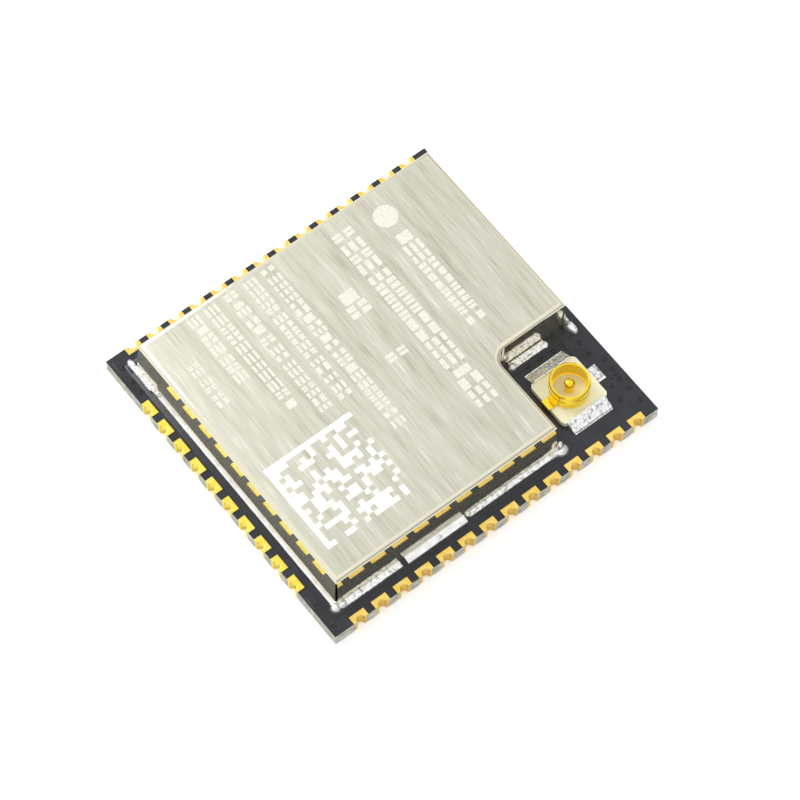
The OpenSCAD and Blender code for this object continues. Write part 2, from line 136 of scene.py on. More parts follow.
def flecked(name, colour, roughness, metallic, fleck, stops, tooth=None, depth=0.0, **sockets):
    """A finish whose colour varies in flecks over a skin with a fine tooth. Fleck and tooth
    are (size, stretch, detail) of a grain, and depth is the tooth's height in millimetres."""
    material, tree, shader = start_material(name, colour, roughness, metallic, **sockets)
    feed(tree, shader, Base_Color=add(
        tree, "ShaderNodeValToRGB", {"Fac": grain(tree, *fleck)}, stops).outputs["Color"])
    if tooth:
        feed(tree, shader, Normal=add(tree, "ShaderNodeBump", {
            "Height": grain(tree, *tooth), "Distance": depth * MM}).outputs["Normal"])
    return material


def brushed_sheet():
    """Nickel silver sheet, brushed before it was folded: fine streaks run across the module,
    and its walls stay bright enough to mirror the pads. The belt's scratches are about
    0.02 mm wide, and are drawn three times as wide, so that they show."""
    material, tree, shader = start_material("nickel_silver_brushed", "#D6D3C2", 0.3, 0.93)
    fine = grain(tree, 0.06, (0.04, 1, 0.04), 3)
    broad = grain(tree, 0.4, (0.08, 1, 0.08), 3)
    both = add(tree, "ShaderNodeMath", {0: fine, 1: broad}, operation="ADD").outputs[0]
    spread = add(tree, "ShaderNodeMapRange", {
        "Value": both, "From Min": 0.62, "From Max": 1.38}).outputs["Result"]
    streaks = add(tree, "ShaderNodeValToRGB", {"Fac": spread}, [
        (0.0, "#B4B29E"), (0.42, "#CFCDBC"), (0.7, "#D8D6C6"), (1.0, "#EFEDDF")])
    normal = add(tree, "ShaderNodeNewGeometry").outputs["Normal"]
    facing = add(tree, "ShaderNodeSeparateXYZ", {"Vector": normal}).outputs
    # The flat top is satin, and the bends and walls below it are polished by the tool. These also
    # take a paler, warmer colour than the streaked top. Part of that is the polished metal
    # without its dark streaks, and part is a painted highlight along the bends.
    flat = add(tree, "ShaderNodeMapRange", {
        "Value": facing["Z"], "From Min": 0.985, "From Max": 0.9995}).outputs["Result"]
    polish = add(tree, "ShaderNodeMapRange", {
        "Value": flat, "To Min": 0.07, "To Max": 0.34}).outputs["Result"]
    # Paler, warmer colour on the bends and walls: partly polish, partly a painted highlight.
    colour = add(tree, "ShaderNodeMix", {
        0: flat, MIX_A: linear("#EEE9D2"), MIX_B: streaks.outputs["Color"]}, data_type="RGBA")
    # The wall that faces the end row mirrors a little less than the others.
    walls = add(tree, "ShaderNodeMapRange", {
        "Value": facing["Y"], "From Min": -0.9, "From Max": -0.4,
        "To Min": 0.84, "To Max": 0.955}).outputs["Result"]
    metal = add(tree, "ShaderNodeMix", {0: flat, 2: walls, 3: 0.93}).outputs[0]
    rub = add(tree, "ShaderNodeMath", {0: fine, 1: flat}, operation="MULTIPLY").outputs[0]
    relief = add(tree, "ShaderNodeBump", {"Height": rub, "Distance": 0.0012 * MM})
    feed(tree, shader, Base_Color=colour.outputs[MIX_OUT], Roughness=polish, Metallic=metal,
         Normal=relief.outputs["Normal"])
    return material


def gold_plating():
    """Immersion gold over nickel: satin yellow. It is painted more lemon in the end row and more
    orange along the sides, painted light and painted shade for how each row is lit. The copper
    foil's tooth under it is about 0.01 mm, and is drawn coarser to show."""
    material, tree, shader = start_material("immersion_gold", "#FFDF5E", 0.26, 1.0)
    cloud = grain(tree, 0.3)
    # Painted shade: the side rows are painted more orange. Painted light: the end row is painted
    # more lemon.
    warm, lemon = (
        add(tree, "ShaderNodeValToRGB", {"Fac": cloud}, stops).outputs["Color"] for stops in (
            [(0.3, "#FDD25C"), (0.7, "#FFE388")], [(0.3, "#FBE24E"), (0.7, "#FFEF78")]))
    spot = add(tree, "ShaderNodeTexCoord").outputs["Object"]
    along = add(tree, "ShaderNodeSeparateXYZ", {"Vector": spot}).outputs["Y"]
    # Where the end row's painted light goes, set by its place along the module.
    end_row_painted_light = add(tree, "ShaderNodeMapRange", {
        "Value": along, "From Min": -9.15 * MM, "From Max": -8.6 * MM,
        "To Min": 1, "To Max": 0}).outputs["Result"]
    colour = add(tree, "ShaderNodeMix", {0: end_row_painted_light, MIX_A: warm, MIX_B: lemon},
                 data_type="RGBA")
    relief = add(tree, "ShaderNodeBump", {
        "Height": grain(tree, 0.06, EVEN, 3), "Distance": 0.003 * MM})
    feed(tree, shader, Base_Color=colour.outputs[MIX_OUT], Normal=relief.outputs["Normal"])
    return material


def grained_solder():
    """Tin-silver solder that cooled slowly: bright, with a frost of grey grains 0.1 to 0.2 mm
    across."""
    material, tree, shader = start_material("solder_grained", "#F2F2F2", 0.24, 0.85)
    patch = grain(tree, 0.16, EVEN, 5)
    colour = add(tree, "ShaderNodeValToRGB", {"Fac": patch}, [
        (0.3, "#86868A"), (0.4, "#DFDFDE"), (0.55, "#FFFFFF")])
    polish = add(tree, "ShaderNodeMapRange", {
        "Value": patch, "From Min": 0.35, "From Max": 0.7, "To Min": 0.32, "To Max": 0.12})
    relief = add(tree, "ShaderNodeBump", {
        "Height": grain(tree, 0.08, EVEN, 3), "Distance": 0.01 * MM})
    feed(tree, shader, Base_Color=colour.outputs["Color"], Roughness=polish.outputs["Result"],
         Normal=relief.outputs["Normal"])
    return material


# The beam's dots, drawing lines, moulding grit and ceramic grains are finer than 0.03 mm on
# the real surfaces, and are drawn 0.04 to 0.08 mm wide, so that they show.
finishes = {
    "shield_sheet": brushed_sheet(),
    # Laser marking on the sheet: a matt, paler skin with the beam's fine dots in it.
    "laser_marking": flecked(
        "nickel_silver_laser_marked", "#FEFEF6", 0.6, 0.2,
        (0.07,), [(0.3, "#EDECE2"), (0.6, "#FEFEF6")]),
    # A faster pass of the beam leaves more of the metal's grey.
    "laser_marking_light": flecked(
        "nickel_silver_lightly_marked", "#EFEEE2", 0.6, 0.45,
        (0.07,), [(0.3, "#D9D8CA"), (0.6, "#EFEEE2")]),
    # Matt epoxy mask: a low blue-black sheen, with the glass weave just telling through it.
    "solder_mask": flecked(
        "solder_mask_matt_black", "#23262C", 0.3, 0.0,
        (0.9, EVEN, 3), [(0.3, "#1B1D22"), (0.7, "#292B32")], (0.12, EVEN, 3), 0.004, IOR=1.5),
    "gold_plating": gold_plating(),
    # Gold flash on drawn phosphor bronze: smooth, deep yellow and near mirror bright.
    "contact_gold": flecked(
        "gold_on_drawn_bronze", "#FFDD3C", 0.14, 1.0,
        (0.3, (1, 1, 0.3)), [(0.3, "#FFD72A"), (0.7, "#FFE552")], (0.04, (1, 1, 0.2)), 0.001),
    # Copper foil and copper-filled vias: salmon pink, slightly dulled.
    "copper": flecked(
        "copper_foil", "#D98F6C", 0.35, 1.0,
        (0.15,), [(0.3, "#C47A58"), (0.7, "#E39C79")]),
    "solder": grained_solder(),
    # Tin-silver solder that set under flux: smooth, wet looking and near white.
    "solder_bright": flecked(
        "solder_bright", "#FBFBFA", 0.2, 0.8,
        (0.5, EVEN, 3), [(0.3, "#E6E6E3"), (0.6, "#FFFFFF")], (0.3,), 0.008),
    # Liquid crystal polymer, moulded: warm cream, satin, with faint flow lines.
    "port_plastic": flecked(
        "liquid_crystal_polymer_cream", "#FFFDDC", 0.4, 0.0,
        (0.8, (1, 0.3, 1)), [(0.3, "#FFFAD0"), (0.7, "#FFFEE4")], (0.06,), 0.002),
    # Glass-epoxy laminate, routed: grey-green resin with pale fibre ends in thin plies.
    "laminate": flecked(
        "glass_epoxy_routed", "#B4B2A4", 0.6, 0.0,
        (0.11, (0.3, 0.3, 1), 4), [(0.3, "#86867C"), (0.5, "#B5B3A6"), (0.68, "#DEDCD0")],
        (0.11, (0.3, 0.3, 1), 4), 0.03, IOR=1.5),
    # Epoxy moulding compound of a chip: charcoal, spark-eroded matt.
    "chip_plastic": flecked(
        "moulding_compound", "#25262A", 0.6, 0.0,
        (0.08, EVEN, 4), [(0.3, "#1D1E21"), (0.7, "#313238")], (0.05,), 0.004),
    # Matt electroplated tin on leads and end caps: soft silver grey.
    "tin_plating": flecked(
        "tin_plate_matt", "#D3D4D4", 0.34, 1.0,
        (0.1, EVEN, 4), [(0.3, "#BEBFC0"), (0.7, "#E4E5E5")]),
    # Fired ceramics of small parts: matt, with the speckle of their grains.
    "brown_ceramic": flecked(
        "titanate_ceramic_brown", "#8A6B4B", 0.55, 0.0,
        (0.05, EVEN, 4), [(0.3, "#8A6B4B"), (0.7, "#A68762")], (0.04,), 0.003),
    "pale_ceramic": flecked(
        "ferrite_ceramic_pale", "#C9CFD2", 0.55, 0.0,
        (0.05, EVEN, 4), [(0.3, "#C9CFD2"), (0.7, "#E6EAEC")], (0.04,), 0.003),
    # Black glass glaze over a resistor's film: glossy and slightly wavy.
    "resistor_glaze": flecked(
        "glass_glaze_black", "#17181A", 0.15, 0.0,
        (0.2,), [(0.3, "#121315"), (0.7, "#202227")], (0.15,), 0.004),
    # Iron-nickel lid of the crystal, plated and seam welded: satin warm grey.
    "lid_metal": flecked(
        "iron_nickel_plated", "#C9C6BE", 0.3, 1.0,
        (0.1, (0.1, 1, 1)), [(0.3, "#B9B6AE"), (0.7, "#D8D5CE")]),
}
NODE_FINISHES = {
    "port_ring": "contact_gold", "port_contact": "contact_gold",
    "port_lands": "solder", "shield_land": "solder",
}

for name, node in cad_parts.items():
    for holder in node.material_slots:
        finish_name = NODE_FINISHES.get(name, holder.material.name.split(".")[0])
        holder.material = finishes[finish_name]


# --- modelling helpers ---------------------------------------------------------------------

CUT_MERGE = 1e-7       # in metres: a cut's usual setting would pull in points of so small a part


def deselect():
    """Leaves edit mode and selects nothing."""
    if bpy.context.object and bpy.context.object.mode != "OBJECT":
        bpy.ops.object.mode_set(mode="OBJECT")
    bpy.ops.object.select_all(action="DESELECT")


def pick(obj, *others):
    """Selects obj and the others, and makes obj the active one."""
    deselect()
    for piece in (obj, *others):
        piece.select_set(True)
    bpy.context.view_layer.objects.active = obj


def start_block(low, high):
    """A block between two corners, its place in its mesh."""
    deselect()
    low, high = Vector(low) * MM, Vector(high) * MM
    bpy.ops.mesh.primitive_cube_add(size=1, location=(low + high) / 2, scale=high - low)
    bpy.ops.object.transform_apply(location=True, rotation=True, scale=True)
    return bpy.context.object


def start_ball(centre, radii, steps=3):
    """A ball with a radius along each axis, its place in its mesh."""
    deselect()
    bpy.ops.mesh.primitive_ico_sphere_add(
        subdivisions=steps, radius=1, location=Vector(centre) * MM, scale=Vector(radii) * MM)
    bpy.ops.object.transform_apply(location=True, rotation=True, scale=True)
    return bpy.context.object


def start_choice(obj, kind):
    """Clears what is selected on a piece, and sets edit mode to choose VERT, EDGE or FACE."""
    pick(obj)
    bpy.ops.object.mode_set(mode="EDIT")
    bpy.ops.mesh.select_mode(type=kind)
    bpy.ops.mesh.select_all(action="DESELECT")
    bpy.ops.object.mode_set(mode="OBJECT")


def choose_edges(obj, test):
    """Selects the edges whose two ends in millimetres pass the test, and enters edit mode."""
    start_choice(obj, "EDGE")
    points = obj.data.vertices
    for edge in obj.data.edges:
        a, b = (points[i].co / MM for i in edge.vertices)
        edge.select = test(a, b)
    bpy.ops.object.mode_set(mode="EDIT")


def round_edges(obj, test, radius, steps):
    """Bevels the edges that pass the test."""
    choose_edges(obj, test)
    bpy.ops.mesh.bevel(offset=radius * MM, segments=steps, affect="EDGES")
    bpy.ops.object.mode_set(mode="OBJECT")


def choose_points(obj, test):
    """Selects the vertices whose place in millimetres passes the test, and enters edit mode."""
    start_choice(obj, "VERT")
    for vertex in obj.data.vertices:
        vertex.select = test(vertex.co / MM)
    bpy.ops.object.mode_set(mode="EDIT")


def move_where(obj, test, shift):
    """Moves the vertices whose place in millimetres passes the test."""
    choose_points(obj, test)
    bpy.ops.transform.translate(value=Vector(shift) * MM)
    bpy.ops.object.mode_set(mode="OBJECT")


def carve(obj, cutter):
    """Takes the cutter's space out of a closed piece."""
    apply(obj, "BOOLEAN", object=cutter, operation="DIFFERENCE", solver="EXACT")
    bpy.data.objects.remove(cutter)


def put(obj, x, y, turn):
    """Moves a mesh that is modelled about the origin to its place, turned by degrees."""
    obj.data.transform(Matrix.Translation((x * MM, y * MM, 0))
                       @ Matrix.Rotation(math.radians(turn), 4, "Z"))


def copies(obj, places):
    """Copies a piece that is modelled about the origin to each (x, y, turn in degrees)."""
    made = []
    for x, y, turn in places:
        copy = obj.copy()
        copy.data = obj.data.copy()
        put(copy, x, y, turn)
        bpy.context.scene.collection.objects.link(copy)
        made.append(copy)
    bpy.data.objects.remove(obj)
    return made


def join(pieces):
    """Makes one piece of many."""
    pick(*pieces)
    if len(pieces) > 1:
        bpy.ops.object.join()
    return bpy.context.object


def apply(obj, kind, **settings):
    """Adds a modifier, sets it and applies it."""
    pick(obj)
    modifier = obj.modifiers.new(kind.title(), kind)
    for name, value in settings.items():
        setattr(modifier, name, value)
    bpy.ops.object.modifier_apply(modifier=modifier.name)


def clouds(name, size):
    """Noise for a Displace modifier, with lumps size millimetres across."""
    texture = bpy.data.textures.new(name, "CLOUDS")
    texture.noise_scale = size * MM
    texture.noise_depth = 2
    return texture


def finish(obj, name, finish_name, angle=40, replaced=()):
    """Names a piece, gives it its finish, shades it smooth and puts it on the module."""
    pick(obj)
    obj.name = obj.data.name = name
    obj.data.materials.clear()
    obj.data.materials.append(finishes[finish_name])
    bpy.ops.object.mode_set(mode="EDIT")
    bpy.ops.mesh.select_all(action="SELECT")
    bpy.ops.mesh.normals_make_consistent(inside=False)
    bpy.ops.object.mode_set(mode="OBJECT")
    bpy.ops.object.shade_smooth_by_angle(angle=math.radians(angle))
    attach(obj, "root")
    if replaced:
        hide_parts(*replaced)
    return obj


def melt(pieces, grid, lumps, depth):
    """Joins rough pieces, fuses them on a fine grid, gives the skin soft lumps and cuts
    the underside flat."""
    obj = join(pieces)
    apply(obj, "REMESH", mode="VOXEL", voxel_size=grid * MM, use_smooth_shade=True)
    apply(obj, "SMOOTH", factor=0.5, iterations=4)
    apply(obj, "DISPLACE", texture=lumps, strength=depth * MM, mid_level=0.5)
    choose_points(obj, lambda p: True)
    bpy.ops.mesh.bisect(plane_co=(0, 0, SEAT * MM), plane_no=(0, 0, 1), use_fill=True,
                        clear_inner=True, threshold=CUT_MERGE)
    bpy.ops.object.mode_set(mode="OBJECT")
    return obj


# --- shield can --------------------------------------------------------------------------

SHEET = 0.2            # thickness of the can's sheet
LEAN_IN = 0.1          # the walls' top stands inside the drawn size, because they splay
SPLAY = 0.13           # how far the foot stands out from the top
OUTER = 7.5            # a point beyond this is on an outer wall
BEND_DEEP = 0.26       # how far the bend round the top reaches in
BEND_LOW = 0.6         # how much of that it reaches down
INNER_CORNER = 0.75    # radius of the notch's inner corner
NOTCH_LEAN = 0.1       # how far the wall beside the port leans in at its foot
SEAM = 0.1             # open joint between two folded walls
SEAM_STOP = 0.08       # how far below the bend the joint ends
SLIT_REACH = 0.6       # half length of the cutter that opens a joint
CUT_OVER = 1           # how far a cutter reaches past what it cuts
CUT_TOP = 5            # a cutter's top, well above the can

top_low, top_high = can_low.xy + Vector((LEAN_IN,) * 2), can_high.xy - Vector((LEAN_IN,) * 2)
bend_foot = can_high.z - BEND_DEEP * BEND_LOW
OPEN_CORNERS = (       # where the walls meet, and how the joint between them is turned
    (top_low.x, top_low.y, 45), (top_high.x, top_low.y, -45), (top_low.x, top_high.y, -45),
    (NOTCH_X, top_high.y, 45), (top_high.x, NOTCH_Y, 45))


def at_inner_corner(a, b):
    """Whether an edge stands in the notch's inner corner."""
    return all(abs(p.x - NOTCH_X) < NEAR and abs(p.y - NOTCH_Y) < NEAR for p in (a, b))


def at_notch_bend(a, b):
    """Whether an edge is where a wall of the notch meets its bend."""
    return all(abs(p.z - bend_foot) < NEAR and p.x > NOTCH_X - 2 * NEAR
               and p.y > NOTCH_Y - 2 * NEAR for p in (a, b))


def at_foot(p):
    """Whether a point is at the foot of the can's walls."""
    return p.z < board_top + NEAR


def shield_sheet():
    """The can as it is folded: sharp mitred corners with an open seam, a wide soft bend
    round the top and walls that splay a little."""
    can = start_block((*top_low, board_top), (*top_high, can_high.z))
    carve(can, start_block((NOTCH_X, NOTCH_Y, 0),
                           (top_high.x + CUT_OVER, top_high.y + CUT_OVER, CUT_TOP)))
    round_edges(can, at_inner_corner, INNER_CORNER, 10)
    # A round bend is pressed down, so it is wider than it is deep.
    round_edges(can, lambda a, b: min(a.z, b.z) > can_high.z - NEAR, BEND_DEEP, 6)
    choose_points(can, lambda p: p.z > can_high.z - BEND_DEEP - 2 * NEAR)
    bpy.ops.transform.resize(value=(1, 1, BEND_LOW), center_override=(0, 0, can_high.z * MM))
    bpy.ops.object.mode_set(mode="OBJECT")
    grow = 1 + SPLAY / top_high.x
    for axis, value in ((0, (grow, 1, 1)), (1, (1, grow, 1))):
        choose_points(can, lambda p: at_foot(p) and abs(p[axis]) > OUTER)
        bpy.ops.transform.resize(value=value, center_override=(0, 0, 0))
        bpy.ops.object.mode_set(mode="OBJECT")
    move_where(can, lambda p: at_foot(p) and abs(p.x - NOTCH_X) < NEAR, (-NOTCH_LEAN, 0, 0))
    choose_points(can, at_foot)
    bpy.ops.mesh.select_mode(type="FACE")
    bpy.ops.mesh.delete(type="FACE")
    bpy.ops.object.mode_set(mode="OBJECT")
    apply(can, "SOLIDIFY", thickness=SHEET * MM, offset=-1, use_even_offset=True)
    # The notch's walls are flat mirrors right up to their bend.
    choose_edges(can, at_notch_bend)
    bpy.ops.mesh.mark_sharp()
    bpy.ops.object.mode_set(mode="OBJECT")
    for corner in OPEN_CORNERS:
        slit = start_block((-SLIT_REACH, -SEAM / 2, board_top - SHEET),
                           (SLIT_REACH, SEAM / 2, bend_foot - SEAM_STOP))
        put(slit, *corner)
        carve(can, slit)
    return can


finish(shield_sheet(), "shield_can_folded", "shield_sheet", angle=35,
       replaced=("shield_can",))


# --- solder ------------------------------------------------------------------------------

FOOT = SPLAY - LEAN_IN                       # the walls' foot beyond the drawn size
TUCK = 0.04                                  # how far solder reaches under a wall's foot
foot_low, foot_high = can_low - Vector((FOOT,) * 3), can_high + Vector((FOOT,) * 3)


def strip(x0, y0, x1, y1, wall, high=0.2, low=0.07):
    """A strip of solder along a wall, which is named by its axis and side: a block that is
    high at the wall and falls away from it to low."""
    corner_low = (min(x0, x1), min(y0, y1), SEAT)
    corner_high = (max(x0, x1), max(y0, y1), board_top + low)
    block = start_block(corner_low, corner_high)
    axis, side = wall
    edge = (corner_low if side > 0 else corner_high)[axis]
    move_where(block, lambda p: p.z > board_top and abs(p[axis] - edge) < NEAR,
               (0, 0, high - low))
    return block


def drop(x, y, rx, ry, height):
    """A rounded lump of solder that sits on the land."""
    return start_ball((x, y, board_top), (rx, ry, height))


# Grained strips, which cooled slowly, each with the lumps that gathered at its ends.
grained = [
    strip(foot_high.x - TUCK, foot_low.y + 0.25, foot_high.x + 0.28, -4.95, (0, 1), 0.16),
    strip(foot_high.x - TUCK, -0.95, foot_high.x + 0.21, 3.9, (0, 1), 0.15),
    drop(foot_high.x + 0.08, 4.2, 0.18, 0.5, 0.2),
    drop(foot_high.x + 0.02, -0.95, 0.16, 0.16, 0.2),
    drop(foot_high.x + 0.05, foot_low.y + 0.3, 0.2, 0.3, 0.2),
    strip(foot_low.x - 0.3, -8.3, foot_low.x + TUCK, 8.4, (0, -1)),
    strip(-8.1, foot_high.y - TUCK, NOTCH_X - 0.2, foot_high.y + 0.3, (1, 1)),
    # beside the port, and round the can's corner behind it
    strip(NOTCH_X - 0.08, 5.4, NOTCH_X + 0.34, 7.5, (0, 1), 0.14, 0.08),
    drop(NOTCH_X + 0.2, 5.5, 0.2, 0.24, 0.2),
    drop(NOTCH_X + 0.16, 7.45, 0.22, 0.2, 0.16),
    drop(NOTCH_X + 0.02, foot_high.y + 0.02, 0.16, 0.18, 0.7),
    drop(NOTCH_X + 0.08, foot_high.y + 0.08, 0.28, 0.24, 0.34),
    drop(NOTCH_X + 0.26, foot_high.y + 0.12, 0.3, 0.24, 0.3),
    drop(NOTCH_X + 0.42, foot_high.y + 0.14, 0.24, 0.2, 0.24),
    # along the end row
    strip(-8.2, foot_low.y + TUCK, -6.4, foot_low.y - 0.24, (1, -1), 0.2, 0.12),
    drop(-8.2, foot_low.y - 0.08, 0.2, 0.17, 0.2),
    drop(-6.4, foot_low.y - 0.06, 0.3, 0.13, 0.16),
    drop(-7.3, foot_low.y - 0.1, 0.22, 0.16, 0.26),
    drop(-6.0, foot_low.y - 0.04, 0.16, 0.12, 0.24),
]
grained = melt(grained, grid=0.035, lumps=clouds("solder_grains", 0.16), depth=0.045)
finish(grained, "shield_solder_grained", "solder", replaced=("shield_solder",))

# Bright strips, which set smooth and square, and the lumps that stand up in the corners.
bright = [
    strip(foot_high.x - TUCK, -4.68, foot_high.x + 0.33, -1.16, (0, 1), 0.22, 0.08),
    drop(foot_high.x + 0.16, -2.7, 0.09, 0.11, 0.2),
    drop(foot_high.x + 0.03, foot_low.y - 0.06, 0.27, 0.25, 0.3),
    drop(foot_high.x + 0.12, NOTCH_Y + 0.18, 0.32, 0.38, 0.36),
    drop(foot_high.x, NOTCH_Y + 0.14, 0.2, 0.24, 0.8),
    drop(foot_high.x - 0.08, foot_low.y + 0.04, 0.14, 0.14, 0.5),
    strip(-6.5, foot_low.y + TUCK, foot_high.x - 0.1, foot_low.y - 0.14, (1, -1), 0.09, 0.07),
]
bright = melt(bright, grid=0.03, lumps=clouds("solder_waves", 0.8), depth=0.03)
finish(bright, "shield_solder_bright", "solder_bright")

# Round the antenna port the solder covers the feet and the contact's tail.
FILLET_FROM, FILLET_TO = 5.6, 7.92
port_fillets = [
    strip(base_high.x - 0.06, FILLET_FROM, land_high.x - 0.04, FILLET_TO, (0, 1), 0.4, 0.1),
    strip(base_low.x + 0.06, FILLET_FROM, land_low.x + 0.06, FILLET_TO, (0, -1), 0.42, 0.06),
    strip(contact_low.x + 0.02, base_high.y - 0.02, contact_high.x - 0.06, land_high.y - 0.04,
          (1, 1), 0.22, 0.1),
]
port_fillets = melt(port_fillets, grid=0.035, lumps=clouds("port_solder_grains", 0.13),
                    depth=0.06)
finish(port_fillets, "port_solder_fillets", "solder", replaced=("port_solder",))


# --- edge pads -----------------------------------------------------------------------------

PITCH, ROW_START = 1.27, 1.5
SIDE_PADS, END_PADS = 14, 10
LAND_W, LAND_D = 0.9, 0.45           # the land as drawn
SHOWN_W, SHOWN_D = 0.84, 0.4         # what the mask leaves open
HALF_HOLE, LINED_HOLE = 0.3, 0.21    # radii of the drilled hole and of its plating's inside
HOLE_MOUTH = 0.04                    # radius of the plating's rounded mouth
MASK_LAP = 0.03                      # how far the lip's mask reaches past the land
MASK_LIP = board_top + 0.006         # top of the mask where it laps over a land

edge_x, edge_y = board_high.x, -board_low.y
pad_places = [(side * edge_x, side_y, 0 if side > 0 else 180) for side in (1, -1)
              for side_y in (ROW_START - edge_y + i * PITCH for i in range(SIDE_PADS))]
pad_places += [((i - (END_PADS - 1) / 2) * PITCH, -edge_y, -90) for i in range(END_PADS)]


def hole_lining():
    """The plating that the half hole carries, thick and round at its mouth."""
    deselect()
    bpy.ops.mesh.primitive_cylinder_add(vertices=40, radius=HALF_HOLE * MM,
                                        depth=board_top * MM, end_fill_type="NOTHING",
                                        location=(0, 0, board_top * MM / 2))
    bpy.ops.object.transform_apply(location=True, rotation=True, scale=True)
    tube = bpy.context.object
    apply(tube, "SOLIDIFY", thickness=(HALF_HOLE - LINED_HOLE) * MM, offset=-1)
    round_edges(tube, lambda a, b: abs(a.z - b.z) < NEAR / 10 and all(
        p.xy.length < LINED_HOLE + NEAR for p in (a, b)), HOLE_MOUTH, 3)
    choose_points(tube, lambda p: True)
    bpy.ops.mesh.bisect(plane_co=(0, 0, 0), plane_no=(1, 0, 0), use_fill=True,
                        clear_outer=True, threshold=CUT_MERGE)
    bpy.ops.object.mode_set(mode="OBJECT")
    return tube


def pad_window():
    """The edge of the mask's window, which laps over three sides of a land."""
    out_w, out_d, low = LAND_W / 2 + MASK_LAP, LAND_D + MASK_LAP, board_top - ROOT
    lips = [start_block((-out_d, -out_w, low), (-SHOWN_D, out_w, MASK_LIP))]
    for side in (1, -1):
        y = sorted((side * SHOWN_W / 2, side * out_w))
        lips.append(start_block((-SHOWN_D - NEAR, y[0], low), (0, y[1], MASK_LIP)))
    return join(lips)


finish(join(copies(hole_lining(), pad_places)), "half_hole_plating", "gold_plating")
finish(join(copies(pad_window(), pad_places)), "pad_window_lips", "solder_mask")


# --- solder mask details -----------------------------------------------------------------

MASK_FACE = board_top - 0.01         # the mask's face between its raised places
MARGIN_STEP = 0.002                  # each margin lies higher than the last, so none coincide
FILM_EDGE = 0.012                    # the most that a film's upper edge is rounded
RIDGE = MASK_FACE + 0.014            # top of the mask over a trace
VIA_RISE = 0.006
VIA_RING, VIA_SWELL = 0.085, 0.042   # radii of the ring over a via, and of its section


def film(x0, y0, x1, y1, top):
    """A rise in the mask, its upper edges soft."""
    block = start_block((x0, y0, MASK_FACE - ROOT), (x1, y1, top))
    round_edges(block, lambda a, b: min(a.z, b.z) > top - NEAR / 10,
                min(0.4 * (top - MASK_FACE), FILM_EDGE), 2)
    return block


margins = [film(*corners, MASK_LIP + MARGIN_STEP * i) for i, corners in enumerate((
    (-8.26, -9.08, 8.26, -8.55),
    (7.7, -9.0, 8.26, NOTCH_Y + 0.5),
    (-8.26, -9.0, -7.7, 9.33),
    (-8.2, 8.7, 3.4, 9.33),
    (NOTCH_X - 0.25, NOTCH_Y, NOTCH_X + 0.6, 8.9),
    (NOTCH_X, NOTCH_Y - 0.1, 7.9, NOTCH_Y + 0.5)))]
finish(join(margins), "mask_margins", "solder_mask")

VIAS = (
    (3.98, 8.87), (4.72, 8.85), (5.4, 9.25), (6.02, 9.25), (6.3, 9.15), (6.62, 9.15),
    (7.3, 9.22), (8.1, 9.2), (6.72, 8.6), (7.55, 8.5), (7.3, 7.85), (3.55, 7.6),
    (3.52, 6.82), (3.5, 6.1), (-8.23, -9.17), (-7.37, -9.2), (-6.67, -9.22), (7.1, -9.2),
    (8.45, -9.3))


def tented_via():
    """The mask over a small via: a low ring with a dimple in it."""
    deselect()
    bpy.ops.mesh.primitive_torus_add(major_segments=24, minor_segments=10,
                                     major_radius=VIA_RING * MM, minor_radius=VIA_SWELL * MM)
    ring = bpy.context.object
    move_where(ring, lambda p: True, (0, 0, MASK_FACE + VIA_RISE))
    return ring


finish(join(copies(tented_via(), [(x, y, 0) for x, y in VIAS])), "tented_vias",
       "solder_mask", angle=80)

ridges = [film(*corners, RIDGE) for corners in (
    (-8.75, -9.44, -6.5, -9.36), (6.6, -9.53, 8.9, -9.45), (2.6, 8.0, 4.3, 8.06),
    (2.6, 8.56, 4.9, 8.62), (4.84, 8.56, 4.9, 8.8), (4.84, 8.8, 6.45, 8.86),
    (6.39, 8.3, 6.45, 8.86), (3.3, 4.95, 3.36, 5.25), (8.34, -3.9, 8.4, -1.3))]
finish(join(ridges), "buried_traces", "solder_mask")


# --- antenna contact -------------------------------------------------------------------

TIP_R, TIP_H = 0.27, 0.2             # the domed tip's radius across and its height
TIP_PROUD = 0.02                     # how far it stands above the drawn contact
contact_tip = start_ball((port_x, port_y, contact_high.z - TIP_H + TIP_PROUD),
                         (TIP_R, TIP_R, TIP_H), 4)
finish(contact_tip, "contact_tip", "contact_gold", angle=60)


# --- laser marking -----------------------------------------------------------------------

MARK_TOP = can_high.z + MARK_DEPTH
BAR_SPACE = 0.75                     # space between a sign's bars, in bars
DOT_W, DOT_H = 0.44, 0.42            # a dot, in shares of its sign
BLOCK_MARGIN = 0.12
SIGN_SPACE, WORD_SPACE = 0.1, 2.5    # between signs, and how many of those between groups
WORD_CHANCE = 0.12
DISC_X, DISC_Y, DISC_R = -6.05, 4.95, 0.62
CELLS, CELL, CELL_CHANCE = 18, 0.28, 0.48
FIELD_X, FIELD_Y = 1.15, -7.8


def mark_plate(x0, y0, x1, y1):
    """One etched rectangle."""
    return start_block((x0, y0, can_high.z - ROOT), (x1, y1, MARK_TOP))


def mark_sign(x0, y0, x1, y1, kind):
    """One plain sign in a cell: two or three flat bars, a square of dots, or a block."""
    w, h = x1 - x0, y1 - y0
    if kind == "dots":
        return [mark_plate(x0 + i * (1 - DOT_W) * w, y0 + j * (1 - DOT_H) * h,
                           x0 + (DOT_W + i * (1 - DOT_W)) * w, y0 + (DOT_H + j * (1 - DOT_H)) * h)
                for i in (0, 1) for j in (0, 1)]
    if kind == "block":
        return [mark_plate(x0, y0 + BLOCK_MARGIN * h, x1, y1 - BLOCK_MARGIN * h)]
    bars = {"two": 2, "three": 3}[kind]
    bar = h / (bars + BAR_SPACE * (bars - 1))
    step = (1 + BAR_SPACE) * bar
    return [mark_plate(x0, y0 + i * step, x1, y0 + i * step + bar) for i in range(bars)]


